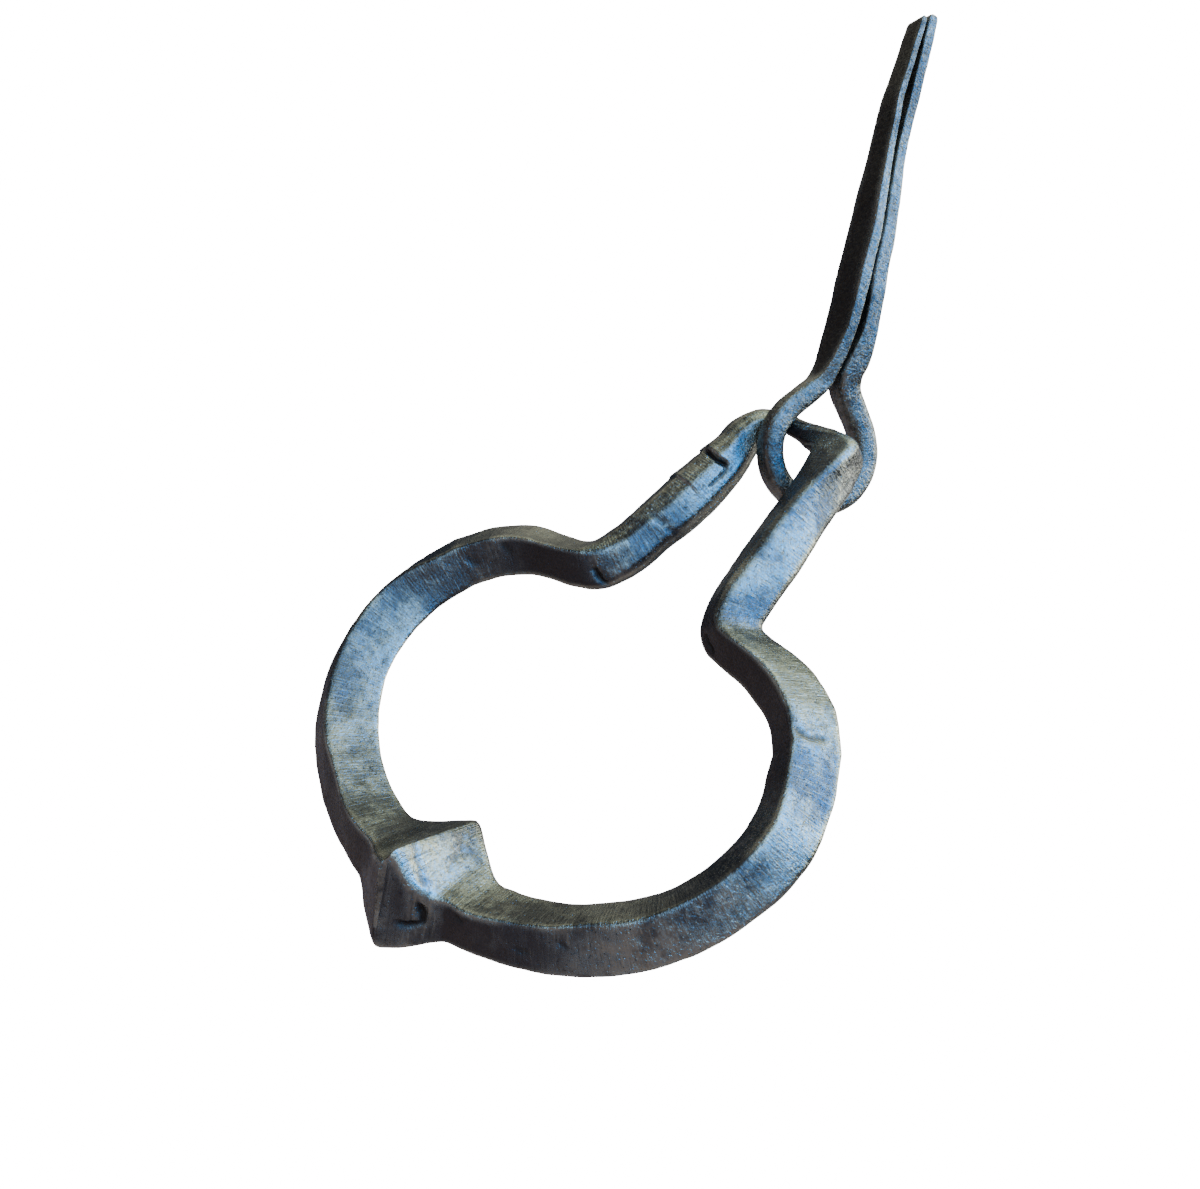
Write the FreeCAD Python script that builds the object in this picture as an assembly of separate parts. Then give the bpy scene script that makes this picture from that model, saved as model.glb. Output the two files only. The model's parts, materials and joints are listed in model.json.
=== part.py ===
"""Wrought-iron ring knocker on a split pin.

Two forged pieces. The split pin is a strap bent double: a round eye, then two flat tapering
legs that go through the door. The knocker ring is a square bar set on edge and bent into a wide
bow, with two shoulders, a narrow neck, a diamond-shaped striking boss at the bottom and a round
crossbar at the top. The crossbar turns in the pin's eye.

Millimetres. +Z is up, with the ring hanging plumb in a plane parallel to XZ and the crossbar
along X. -Y is the front. The origin is on the pin's axis, where its legs come together above
the eye: the place that sits at the face of the door.
"""
import FreeCAD
import Part
import math
import os

Vector = FreeCAD.Vector

# Split pin: the eye.
EYE_OUTER_RADIUS = 13.4
EYE_HOLE_RADIUS = 8.5
EYE_WIDTH = 4.2             # of the stock, along the eye's axis
EYE_EDGE_BEVEL = 1.2        # bevel along the edges of the eye's stock
EYE_OPENING = 34.0          # degrees each side of the top where the round of the eye ends
EYE_OFFSET = 0.6            # the eye's centre stands this far behind the slit
NECK_OUTER_FILLET = 6.0
NECK_INNER_FILLET = 8.0

# Split pin: the legs, measured from the eye's centre.
FRONT_LEG_TOP = 91.5
BACK_LEG_TOP = 94.5
FRONT_LEG_THICKNESS = 2.7
BACK_LEG_THICKNESS = 3.6
TIP_THICKNESS_RATIO = 0.6
SLIT = 0.5
LEG_ROOT_HEIGHT = 17.0      # the legs are together from here up
LEG_WIDE_START = 25.0
LEG_WIDE_END = 47.0
LEG_WIDTH = 11.0
LEG_TIP_WIDTH = 6.2
LEG_ROOT_WIDTH = 7.6
LEG_START_DROP = 4.0        # the legs begin to widen this far below their root
LEG_START_WIDTH = 3.6
LEG_END_MARGIN = 1.0        # the outline that trims the legs runs this far past their tips
TRIM_MARGIN = 2.0           # extra width of the legs before they are trimmed
TRIM_BOX = 60.0             # side of the blocks used for trimming, wider than the whole pin

# How the pin leans and turns on the crossbar, in degrees.
PIN_LEAN = 25.6             # forward from upright
PIN_SIDE_TILT = -13.4       # towards -X
PIN_TURN = 35.1             # about its own length

# The crossbar's middle, measured from the centre of the eye along X, Y and Z.
CROSSBAR_FROM_EYE = Vector(-3.8, -3.4, 0.9)

# Knocker ring, measured from the crossbar's middle.
CROSSBAR_RADIUS = 2.4
NECK_TOP_HALF_WIDTH = 11.2  # leg centre to the middle of the neck, at the crossbar
BOW_CENTRE_DROP = 73.3
SHOULDER_HALF_WIDTH = 17.8
SHOULDER_DROP = 48.2

# The bow's centreline is polar about the bow's centre, with the angle taken from straight down:
# radius = mean + lop cos(a) + oval cos(2a) + peak cos(3a).
BOW_MEAN_RADIUS = 41.4
BOW_LOP = 10.75
BOW_OVAL = -8.0
BOW_PEAK = 0.8

# Half-diagonals of the square bar, in the ring's plane and across it.
BAR_IN_PLANE = 6.1
BAR_ACROSS = 5.9
BAR_BLUNT = 0.9             # half the width of each worn edge
SHOULDER_IN_PLANE = 5.5
SHOULDER_BLUNT = 1.35

# Half-sizes of the neck's eight-sided legs, in the ring's plane and across it.
RIGHT_LEG_SIZE = (5.3, 4.7)
LEFT_LEG_SIZE = (4.6, 4.4)
OCTAGON_BLUNT = 0.42        # blunt of a regular octagon, as a share of its half-size
LEG_TOP_SHARE = 0.62        # the legs are drawn down to this share at the crossbar
LEG_TAPER_LENGTH = 8.0
LEG_STRAIGHT_DROP = 40.0
LEG_AIM_HALF_WIDTH = 14.24  # where the legs' centrelines head for, at the height of the shoulders

# Striking boss.
BOSS_OUTWARD = 13.9
BOSS_INWARD = 15.3
BOSS_ACROSS = 15.1
BOSS_BLUNT = 0.8
BOSS_HALF_LENGTH = 11.0

BOW_STEPS = 12              # sections on each side of the bow
ANGLE_STEP = 0.001          # radians, for the direction of the bow's centreline


def pin_rotation():
    """Turn about the pin's own length, then tilt sideways, then lean forward."""
    turn = FreeCAD.Rotation(Vector(0, 0, 1), -PIN_TURN)
    tilt = FreeCAD.Rotation(Vector(0, 1, 0), PIN_SIDE_TILT)
    lean = FreeCAD.Rotation(Vector(1, 0, 0), PIN_LEAN)
    return lean.multiply(tilt).multiply(turn)


def neck_points(circle_radius, fillet, side):
    """Points of a fillet between a circle about the origin and the line y = side.

    Gives the point on the circle, the middle of the fillet and the point on the line, as (y, z).
    """
    reach = side + fillet
    height = math.sqrt((circle_radius + fillet) ** 2 - reach ** 2)
    share = circle_radius / (circle_radius + fillet)
    on_circle = (reach * share, height * share)
    angle = math.atan2(height, reach)
    middle_angle = math.pi + angle / 2.0
    middle = (reach + fillet * math.cos(middle_angle), height + fillet * math.sin(middle_angle))
    on_line = (side, height)
    return on_circle, middle, on_line


def strap_profile():
    """The strap seen along the eye's axis, as one closed face in the YZ plane.

    The eye's centre is at (EYE_OFFSET, 0). Front is -y.
    """
    def at(point, sign):
        return Vector(0, EYE_OFFSET + sign * point[0], point[1])

    front_side = FRONT_LEG_THICKNESS + SLIT / 2 + EYE_OFFSET
    back_side = BACK_LEG_THICKNESS + SLIT / 2 - EYE_OFFSET
    outer_front = [at(p, -1) for p in neck_points(EYE_OUTER_RADIUS, NECK_OUTER_FILLET, front_side)]
    outer_back = [at(p, 1) for p in neck_points(EYE_OUTER_RADIUS, NECK_OUTER_FILLET, back_side)]
    hole_front = [at(p, -1) for p in
                  neck_points(EYE_HOLE_RADIUS, NECK_INNER_FILLET, SLIT / 2 + EYE_OFFSET)]
    hole_back = [at(p, 1) for p in
                 neck_points(EYE_HOLE_RADIUS, NECK_INNER_FILLET, SLIT / 2 - EYE_OFFSET)]
    front_tip_out = Vector(0, -SLIT / 2 - FRONT_LEG_THICKNESS * TIP_THICKNESS_RATIO, FRONT_LEG_TOP)
    front_tip_in = Vector(0, -SLIT / 2, FRONT_LEG_TOP)
    back_tip_out = Vector(0, SLIT / 2 + BACK_LEG_THICKNESS * TIP_THICKNESS_RATIO, BACK_LEG_TOP)
    back_tip_in = Vector(0, SLIT / 2, BACK_LEG_TOP)
    eye_bottom = Vector(0, EYE_OFFSET, -EYE_OUTER_RADIUS)
    hole_bottom = Vector(0, EYE_OFFSET, -EYE_HOLE_RADIUS)
    edges = [
        Part.LineSegment(front_tip_out, outer_front[2]).toShape(),
        Part.Arc(outer_front[2], outer_front[1], outer_front[0]).toShape(),
        Part.Arc(outer_front[0], eye_bottom, outer_back[0]).toShape(),
        Part.Arc(outer_back[0], outer_back[1], outer_back[2]).toShape(),
        Part.LineSegment(outer_back[2], back_tip_out).toShape(),
        Part.LineSegment(back_tip_out, back_tip_in).toShape(),
        Part.LineSegment(back_tip_in, hole_back[2]).toShape(),
        Part.Arc(hole_back[2], hole_back[1], hole_back[0]).toShape(),
        Part.Arc(hole_back[0], hole_bottom, hole_front[0]).toShape(),
        Part.Arc(hole_front[0], hole_front[1], hole_front[2]).toShape(),
        Part.LineSegment(hole_front[2], front_tip_in).toShape(),
        Part.LineSegment(front_tip_in, front_tip_out).toShape(),
    ]
    return Part.Face(Part.Wire(edges))


def extrude_across(face, width):
    """Extrude a YZ face along X, centred on X = 0."""
    moved = face.translated(Vector(-width / 2.0, 0, 0))
    return moved.extrude(Vector(width, 0, 0))


def leg_outline():
    """The legs seen from the front: narrow at the eye, widest above it, tapering to the tips."""
    half_widths = [
        (LEG_ROOT_HEIGHT - LEG_START_DROP, LEG_START_WIDTH / 2),
        (LEG_ROOT_HEIGHT, LEG_ROOT_WIDTH / 2),
        (LEG_WIDE_START, LEG_WIDTH / 2),
        (LEG_WIDE_END, LEG_WIDTH / 2),
        (BACK_LEG_TOP + LEG_END_MARGIN, LEG_TIP_WIDTH / 2),
    ]
    right = [Vector(half, 0, height) for height, half in half_widths]
    left = [Vector(-half, 0, height) for height, half in reversed(half_widths)]
    points = right + left
    return Part.Face(Part.makePolygon(points + [points[0]]))


def eye_ring():
    """The round of the eye: stock with bevelled edges, turned about the eye's axis.

    It is left open at the top, where the two limbs run up into the legs.
    """
    half = EYE_WIDTH / 2
    inner = EYE_HOLE_RADIUS
    outer = EYE_OUTER_RADIUS
    bevel = EYE_EDGE_BEVEL
    outline = [
        (-half, inner + bevel), (-half + bevel, inner), (half - bevel, inner), (half, inner + bevel),
        (half, outer - bevel), (half - bevel, outer), (-half + bevel, outer), (-half, outer - bevel),
    ]
    points = [Vector(x, 0, radius) for x, radius in outline]
    stock = Part.Face(Part.makePolygon(points + [points[0]]))
    stock.rotate(Vector(0, 0, 0), Vector(1, 0, 0), EYE_OPENING)
    ring = stock.revolve(Vector(0, 0, 0), Vector(1, 0, 0), 360.0 - 2 * EYE_OPENING)
    return ring.translated(Vector(0, EYE_OFFSET, 0))


def split_pin():
    """The strap: a rounded narrow eye joined to two wide flat legs."""
    profile = strap_profile()
    start = EYE_HOLE_RADIUS * math.cos(math.radians(EYE_OPENING))
    corner = Vector(-TRIM_BOX / 2, -TRIM_BOX / 2, start)
    neck_zone = Part.makeBox(TRIM_BOX, TRIM_BOX, TRIM_BOX, corner)
    narrow = extrude_across(profile, EYE_WIDTH - EYE_EDGE_BEVEL).common(neck_zone)
    outline = leg_outline().translated(Vector(0, -TRIM_BOX / 2, 0))
    taper = outline.extrude(Vector(0, TRIM_BOX, 0))
    legs = extrude_across(profile, LEG_WIDTH + TRIM_MARGIN).common(taper)
    strap = eye_ring().fuse([narrow, legs])
    return strap.Solids[0]


def section(centre, outward, in_plane_out, in_plane_in, across, blunt):
    """Eight-sided wire across the bar: a square on edge whose four corners are blunted.

    outward is a unit vector in the ring's plane; the front corner points along -Y.
    """
    front = Vector(0, -1, 0)
    corners = [
        (in_plane_out, -blunt), (in_plane_out, blunt),
        (blunt, across), (-blunt, across),
        (-in_plane_in, blunt), (-in_plane_in, -blunt),
        (-blunt, -across), (blunt, -across),
    ]
    points = [centre + outward * a + front * b for a, b in corners]
    return Part.makePolygon(points + [points[0]])


def bow_radius(angle):
    """Distance of the bow's centreline from the bow's centre."""
    return (BOW_MEAN_RADIUS + BOW_LOP * math.cos(angle) + BOW_OVAL * math.cos(2 * angle)
            + BOW_PEAK * math.cos(3 * angle))


def bow_point(angle, side):
    """Centreline of the bow; angle is from straight down, side is +1 for +X."""
    radius = bow_radius(angle)
    return Vector(side * radius * math.sin(angle), 0, -BOW_CENTRE_DROP - radius * math.cos(angle))


def bow_outward(angle, side):
    """Unit vector in the ring's plane, square to the centreline and pointing out of the bow."""
    along = bow_point(angle + ANGLE_STEP, side) - bow_point(angle - ANGLE_STEP, side)
    normal = Vector(along.z * side, 0, -along.x * side)
    return normal.normalize()


def ring_half(side, leg_size):
    """Half of the ring, from the middle of the boss round the bow and up the neck."""
    boss_angle = BOSS_HALF_LENGTH / bow_radius(0)
    shoulder = Vector(side * SHOULDER_HALF_WIDTH, 0, -SHOULDER_DROP)
    shoulder_angle = math.atan2(SHOULDER_HALF_WIDTH, SHOULDER_DROP - BOW_CENTRE_DROP)
    wires = [section(bow_point(0, side), Vector(0, 0, -1), BOSS_OUTWARD, BOSS_INWARD,
                     BOSS_ACROSS, BOSS_BLUNT)]
    for step in range(BOW_STEPS):
        angle = boss_angle + (shoulder_angle - boss_angle) * step / BOW_STEPS
        wires.append(section(bow_point(angle, side), bow_outward(angle, side),
                             BAR_IN_PLANE, BAR_IN_PLANE, BAR_ACROSS, BAR_BLUNT))
    mitre = Vector(side, 0, 1).normalize()
    wires.append(section(shoulder, mitre, SHOULDER_IN_PLANE, SHOULDER_IN_PLANE,
                         BAR_ACROSS, SHOULDER_BLUNT))
    half_wide, half_deep = leg_size
    sideways = Vector(side, 0, 0)
    top = Vector(side * NECK_TOP_HALF_WIDTH, 0, 0)
    for drop, share in ((LEG_STRAIGHT_DROP, 1.0), (LEG_TAPER_LENGTH, 1.0),
                        (-CROSSBAR_RADIUS, LEG_TOP_SHARE)):
        lean = (drop / SHOULDER_DROP) * (LEG_AIM_HALF_WIDTH - NECK_TOP_HALF_WIDTH)
        centre = top + Vector(side * lean, 0, -drop)
        wide = half_wide * share
        deep = half_deep * share
        wires.append(section(centre, sideways, wide, wide, deep, OCTAGON_BLUNT * wide))
    return Part.makeLoft(wires, True, True)


def crossbar():
    """Round bar between the tops of the neck's legs; it turns in the eye."""
    length = 2 * NECK_TOP_HALF_WIDTH
    start = Vector(-NECK_TOP_HALF_WIDTH, 0, 0)
    return Part.makeCylinder(CROSSBAR_RADIUS, length, start, Vector(1, 0, 0))


def knocker_ring():
    """The closed ring, in one piece."""
    right = ring_half(1, RIGHT_LEG_SIZE)
    left = ring_half(-1, LEFT_LEG_SIZE)
    ring = right.fuse([left, crossbar()])
    return ring.Solids[0]


def main():
    rotation = pin_rotation()
    root_to_eye = rotation.multVec(Vector(0, EYE_OFFSET, -LEG_ROOT_HEIGHT))
    hinge = root_to_eye + CROSSBAR_FROM_EYE

    pin = split_pin()
    pin.translate(Vector(0, 0, -LEG_ROOT_HEIGHT))
    pin.Placement = FreeCAD.Placement(Vector(0, 0, 0), rotation).multiply(pin.Placement)

    ring = knocker_ring()
    ring.translate(hinge)

    os.makedirs("parts", exist_ok=True)
    for name, shape in (("split_pin", pin), ("knocker_ring", ring)):
        shape.exportStep("parts/" + name + ".step")
        box = shape.BoundBox
        print(name, "valid", shape.isValid(), "solids", len(shape.Solids),
              "volume %.0f" % shape.Volume,
              "box %.1f..%.1f  %.1f..%.1f  %.1f..%.1f" % (box.XMin, box.XMax, box.YMin, box.YMax,
                                                           box.ZMin, box.ZMax))
    print("hinge at %.3f %.3f %.3f" % tuple(hinge))
    print("pin axis %.4f %.4f %.4f" % tuple(rotation.multVec(Vector(0, 0, 1))))
    print("eye axis %.4f %.4f %.4f" % tuple(rotation.multVec(Vector(1, 0, 0))))
    print("overlap %.4f  clearance %.3f" % (pin.common(ring).Volume, pin.distToShape(ring)[0]))


main()
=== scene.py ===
"""Looks of a wrought-iron ring knocker on its split pin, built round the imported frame.

Lengths below are in millimetres in each piece's own drawing and are turned into metres when a
mesh is made. The ring is drawn about the middle of its crossbar, with x along the crossbar and
z up; the pin is drawn about its eye, with x along the eye's axis and z along the legs. Both
forgings are surfaces swept along a closed or open path, with a section of flat facets whose edges
are worn round.
"""
import itertools
import json
import math

import bpy
import numpy as np
from mathutils import Matrix, Vector


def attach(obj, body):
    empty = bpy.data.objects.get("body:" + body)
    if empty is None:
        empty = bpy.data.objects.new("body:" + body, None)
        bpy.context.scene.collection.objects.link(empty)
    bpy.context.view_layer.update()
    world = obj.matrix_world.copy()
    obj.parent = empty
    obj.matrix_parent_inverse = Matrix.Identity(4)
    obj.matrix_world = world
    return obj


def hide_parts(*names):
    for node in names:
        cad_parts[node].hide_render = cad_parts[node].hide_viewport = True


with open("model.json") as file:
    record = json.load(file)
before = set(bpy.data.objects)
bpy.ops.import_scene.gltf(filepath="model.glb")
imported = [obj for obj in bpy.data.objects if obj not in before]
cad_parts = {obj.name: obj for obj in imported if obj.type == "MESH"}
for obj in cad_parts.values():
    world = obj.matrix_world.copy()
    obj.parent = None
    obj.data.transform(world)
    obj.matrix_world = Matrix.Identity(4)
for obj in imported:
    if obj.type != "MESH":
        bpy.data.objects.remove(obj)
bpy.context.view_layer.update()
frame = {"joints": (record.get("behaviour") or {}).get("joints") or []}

MM = 0.001
HINGE = np.array(frame["joints"][0]["pos_m"]) / MM

# ---------------------------------------------------------------- ring: driving dimensions
BOW_DROP = 73.3                  # from the crossbar down to the bow's centre
# Bow centreline, polar about the bow's centre, angle from straight down:
# radius = mean + lop cos a + oval cos 2a + peak cos 3a, for each side of the ring.
BOW_SERIES = {1: (41.6, 10.9, -8.2, 0.7), -1: (41.2, 10.6, -7.8, 0.9)}
BAR_HALF = {1: 6.7, -1: 7.2}     # half-diagonal of the square bar in the ring's plane
BAR_ACROSS = 6.6                 # half-diagonal square to the ring's plane
# From the bar's middle to the boss's outer peak, its inner one, and its front and back ones.
BOSS_OUT = 14.5
BOSS_IN = 16.1
BOSS_ACROSS = 15.8
# Length over which each edge of the boss falls to the bar: inner, outer and front edges.
BOSS_RUN = {1: (12.5, 9.5, 7.2), -1: (12.5, 11.0, 8.5)}
BOSS_BLUNT = (1.6, 0.25, 0.5)    # how rounded its inner, outer and front peaks are
BOSS_EASE = 0.012                # how softly its edges run out into the bar
BOW_FLATS = 0.72                 # how far out the bow's flats stand, and its corners
BOW_CORNERS = 0.98
FRONT_SWELL = {1: 0.0, -1: 1.6}  # extra thickness of the bar beside the boss
RIDGE_DROP = {1: 0.22, -1: 0.02}  # how much further out the front ridge leans there
SWELL_FULL = 5.0                 # distance from the peak at which both are full
SWELL_HOLD = 6.0                 # and from which they die away
SWELL_RUN = 30.0                 # to nothing at this one
BOW_END = math.radians(99)       # where the bow hands over to the shoulder
RIDGE_LEAN = {1: (0.05, -0.28), -1: (0.2, -0.22)}   # front ridge off centre: below, above
LEAN_CHANGE = (1.45, 1.9)        # angles, in radians, between which it goes from one to the other
RING_SHARPNESS = 26.0            # of the bar's edges
RIDGE_WANDER = 0.05              # how far the ridges stray from a true line
WANDER_CELL = 9.0
RING_HAMMERING = 1.25            # strength of the hammer marks

# ---------------------------------------------------------------- pin: driving dimensions
PIN_LEAN = math.radians(25.6)
PIN_SIDE_TILT = math.radians(-13.4)
PIN_TURN = math.radians(35.1)
EYE_FROM_CROSSBAR = np.array([3.8, 3.4, -0.9])
EYE_RADIUS = 10.95               # to the middle of the stock
EYE_THICK = 4.9
EYE_WIDE = 5.4
EYE_BEHIND_SLIT = 0.6
STRAP_ROUND = (1.0, 2.5)         # width over thickness at which the strap is roundest and flattest
STRAP_POWERS = (3.0, 11.0)       # power of its section there
TIP_RUN = 1.2                    # length over which the ends are drawn in
TIP_WIDE = 0.88                  # share of the width and thickness left at the very end
TIP_THICK = 0.35
PIN_HAMMERING = 0.9
LEG_RUST_HEIGHTS = (8.0, 20.0)   # where rust on the legs begins, and is full
LEG_RUST = 1.1

# ---------------------------------------------------------------- forging marks on both pieces
HAMMER_MARKS = ((0.26, 13.0), (0.11, 5.0), (0.05, 1.9))   # depth and size of each kind
WORN_SMOOTH = 3.0                # within this distance of the joint no hammer marks are left
WORN_UNTIL = 10.0                # and beyond this they are full
GRAIN_GIRTH = 5.0                # radius on which the grain is laid round the bar


def value_noise(points, cell, seed):
    """Random numbers on a cubic lattice of that cell size, blended with a smoothstep; -1 to 1."""
    size = 32
    table = np.random.default_rng(seed).random((size, size, size)) * 2 - 1
    scaled = points / cell
    base = np.floor(scaled).astype(int)
    part = scaled - base
    weight = part * part * (3 - 2 * part)
    total = np.zeros(points.shape[:-1])
    for corner in itertools.product((0, 1), repeat=3):
        index = (base + corner) % size
        share = np.prod(np.where(np.array(corner) == 1, weight, 1 - weight), axis=-1)
        total += table[index[..., 0], index[..., 1], index[..., 2]] * share
    return total


def smooth_step(x, low, high):
    """0 below low, 1 above high, and a smooth cubic between."""
    t = np.clip((x - low) / (high - low), 0, 1)
    return t * t * (3 - 2 * t)


def facet_radius(angle, normals, distances, sharpness):
    """Radius of a section bounded by flat facets, at each angle.

    Facet k would alone give distance_k / cos(angle - normal_k). The facets are joined by a power
    mean: radius = (sum over k of (max(cos, 0) / distance_k) ** p) ** (-1 / p), so a higher p
    gives a sharper edge.
    """
    total = 0
    for normal, distance in zip(normals, distances):
        total = total + (np.maximum(np.cos(angle - normal), 0) / distance) ** sharpness
    return total ** (-1 / sharpness)


def tube_faces(rows, columns, close_rows):
    """Quads of a grid whose columns close on themselves, and its rows too if asked."""
    row = np.arange(rows if close_rows else rows - 1)
    column = np.arange(columns)
    r, c = np.meshgrid(row, column, indexing="ij")
    r2 = (r + 1) % rows
    c2 = (c + 1) % columns
    return np.stack([r * columns + c, r * columns + c2, r2 * columns + c2, r2 * columns + c],
                    axis=-1).reshape(-1, 4)


def make_mesh(name, points, faces, attributes):
    """A mesh object from arrays; points in millimetres in the part's frame, values per point."""
    mesh = bpy.data.meshes.new(name)
    mesh.from_pydata((points * MM).tolist(), [], [tuple(f) for f in faces])
    for label, values in attributes.items():
        values = np.asarray(values, np.float32)
        if label == "grain":
            layer = mesh.attributes.new(label, "FLOAT_VECTOR", "POINT")
            layer.data.foreach_set("vector", values.ravel())
        else:
            layer = mesh.attributes.new(label, "FLOAT", "POINT")
            layer.data.foreach_set("value", values.ravel())
    mesh.update()
    mesh.shade_smooth()
    piece = bpy.data.objects.new(name, mesh)
    bpy.context.scene.collection.objects.link(piece)
    return piece


# ---------------------------------------------------------------- ring
def bow_centre(angle, side):
    """Centreline of the bow at an angle from straight down, by the cosine series."""
    mean, lop, oval, peak = BOW_SERIES[side]
    radius = (mean + lop * np.cos(angle) + oval * np.cos(2 * angle) + peak * np.cos(3 * angle))
    return np.stack([side * radius * np.sin(angle), -BOW_DROP - radius * np.cos(angle)], -1)


def boss_share(walked, run, blunt):
    """1 near the boss's blunt peak, falling straight over its run and easing into the bar."""
    line = 1 - (np.sqrt(walked ** 2 + blunt ** 2) - blunt / 2) / run
    return (line + np.sqrt(line * line + BOSS_EASE)) / 2


def bow_rows(side, count=400):
    """Rows of one half of the bow, from the boss up: edges, half-thickness and section.

    The edges stand off the centreline along its own normal. Each half-diagonal falls in a
    straight line from the boss's size to the bar's, so each side of the boss is four facets.
    """
    angle = np.linspace(0, BOW_END, count)
    centre = bow_centre(angle, side)
    along = np.gradient(centre, angle, axis=0)
    along /= np.linalg.norm(along, axis=1, keepdims=True)
    outward = np.stack([along[:, 1] * side, -along[:, 0] * side], -1)
    outward[0] = (0, -1)
    walked = walked_length(centre)
    bar = BAR_HALF[side]
    inn, out, across = [size + (peak - size) * boss_share(walked, run, blunt)
                        for size, peak, run, blunt in
                        zip((bar, bar, BAR_ACROSS), (BOSS_IN, BOSS_OUT, BOSS_ACROSS),
                            BOSS_RUN[side], BOSS_BLUNT)]
    near_boss = (smooth_step(walked, 0, SWELL_FULL)
                 * (1 - smooth_step(walked, SWELL_HOLD, SWELL_RUN)))
    across = across + FRONT_SWELL[side] * near_boss
    low, high = RIDGE_LEAN[side]
    lean = low + (high - low) * smooth_step(angle, *LEAN_CHANGE) + RIDGE_DROP[side] * near_boss
    still = np.ones(count)
    return np.column_stack([centre - outward * inn[:, None], centre + outward * out[:, None],
                            across, BOW_FLATS * still, BOW_CORNERS * still, 0 * still, lean])


# Neck stations: inner edge (x, z), outer edge (x, z), half-thickness across the ring, then the
# section: how far out its flats and its corners stand (a true diamond has 0.71 and 1), how many
# degrees it is turned towards the front, and the lean of its front ridge.
RIGHT_NECK = [
    ((39.6, -63.9), (50.2, -57.0), 6.6, 0.72, 0.98, 0, -0.24),
    ((35.1, -59.3), (43.0, -49.8), 6.6, 0.72, 0.98, 0, -0.28),
    ((30.2, -56.6), (36.2, -46.2), 6.6, 0.72, 0.98, 0, -0.28),
    ((24.2, -54.7), (28.4, -44.2), 6.6, 0.72, 0.98, 0, -0.28),
    ((18.8, -53.8), (24.0, -43.4), 6.5, 0.74, 0.97, 0, -0.28),
    ((15.0, -52.7), (22.4, -43.0), 6.4, 0.76, 0.97, 2, -0.22),
    ((12.3, -50.8), (21.8, -42.2), 6.4, 0.77, 0.97, 5, -0.12),
    ((10.2, -48.0), (21.7, -40.9), 6.4, 0.77, 0.97, 7, -0.05),
    ((8.7, -44.3), (21.6, -39.2), 6.4, 0.77, 0.97, 8, 0.0),
    ((7.9, -39.5), (21.4, -36.5), 6.4, 0.77, 0.97, 8, 0.0),
    ((7.2, -31.0), (20.6, -29.5), 6.3, 0.77, 0.97, 6, 0.0),
    ((6.7, -21.0), (19.4, -20.0), 6.2, 0.77, 0.97, 0, 0.0),
    ((6.6, -13.0), (18.3, -11.5), 6.1, 0.78, 0.97, -12, 0.0),
    ((6.2, -8.0), (17.3, -5.0), 5.8, 0.80, 0.98, -30, 0.0),
]
LEFT_NECK = [
    ((-38.2, -64.2), (-50.4, -57.0), 6.6, 0.72, 0.98, 0, -0.16),
    ((-34.2, -59.6), (-43.2, -49.4), 6.6, 0.72, 0.98, 0, -0.2),
    ((-29.8, -56.8), (-36.4, -45.8), 6.6, 0.72, 0.98, 0, -0.22),
    ((-24.0, -54.9), (-28.4, -44.0), 6.6, 0.72, 0.98, 0, -0.22),
    ((-18.6, -53.9), (-23.8, -43.3), 6.4, 0.75, 0.97, 0, -0.18),
    ((-14.8, -52.7), (-22.0, -42.6), 6.2, 0.78, 0.96, 0, -0.12),
    ((-11.9, -50.6), (-21.0, -41.4), 5.9, 0.82, 0.96, 0, -0.06),
    ((-9.9, -47.4), (-20.2, -39.9), 5.6, 0.86, 0.955, 0, 0.0),
    ((-8.2, -43.4), (-19.3, -37.8), 5.4, 0.90, 0.955, 0, 0.0),
    ((-7.0, -36.8), (-18.4, -34.0), 5.3, 0.92, 0.955, 0, 0.0),
    ((-5.5, -28.4), (-17.0, -26.5), 5.2, 0.92, 0.955, 0, 0.0),
    ((-4.3, -19.4), (-15.8, -18.0), 5.2, 0.92, 0.955, 0, 0.0),
    ((-4.4, -12.8), (-14.4, -10.5), 4.9, 0.92, 0.96, 0, 0.0),
    ((-5.2, -8.2), (-13.7, -4.8), 4.3, 0.92, 0.97, 0, 0.0),
]
CROSSBAR = [
    ((5.2, -4.6), (15.1, 1.2), 4.6, 0.86, 1.0, -42, 0.0),
    ((3.4, -3.4), (9.4, 2.8), 3.3, 0.93, 0.99, -20, 0.0),
    ((0.0, -2.2), (0.0, 2.2), 1.8, 0.96, 0.98, 0, 0.0),
    ((-4.4, -2.3), (-6.2, 2.2), 1.85, 0.96, 0.98, 0, 0.0),
    ((-5.4, -4.2), (-10.2, 0.2), 3.2, 0.95, 0.98, 0, 0.0),
]
# Where the mesh is finest, at the boss, the shoulders and the weld: share of the way round the bar
# from the boss, and half-width of the stretch.
FINE_STRETCHES = ((0.0, 18.0), (1.0, 18.0), (0.345, 12.0), (0.655, 12.0), (0.575, 12.0))
FINE_EXTRA = 1.2                 # how many more rows there, as a share of the ordinary ones
NECK_SAMPLES = 500


def smooth_curve(keys, values, at):
    """Cubic through values at keys with central-difference slopes, read at other places."""
    slope = np.gradient(values, keys, axis=0)
    index = np.clip(np.searchsorted(keys, at) - 1, 0, len(keys) - 2)
    gap = (keys[index + 1] - keys[index])[:, None]
    t = (at - keys[index])[:, None] / gap
    return ((2 * t ** 3 - 3 * t ** 2 + 1) * values[index]
            + (t ** 3 - 2 * t ** 2 + t) * gap * slope[index]
            + (3 * t ** 2 - 2 * t ** 3) * values[index + 1]
            + (t ** 3 - t ** 2) * gap * slope[index + 1])


def walked_length(line):
    """Distance along a line of points, from its first one."""
    step = np.linalg.norm(np.diff(line, axis=0), axis=1)
    return np.concatenate([[0], np.cumsum(step)])


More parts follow.
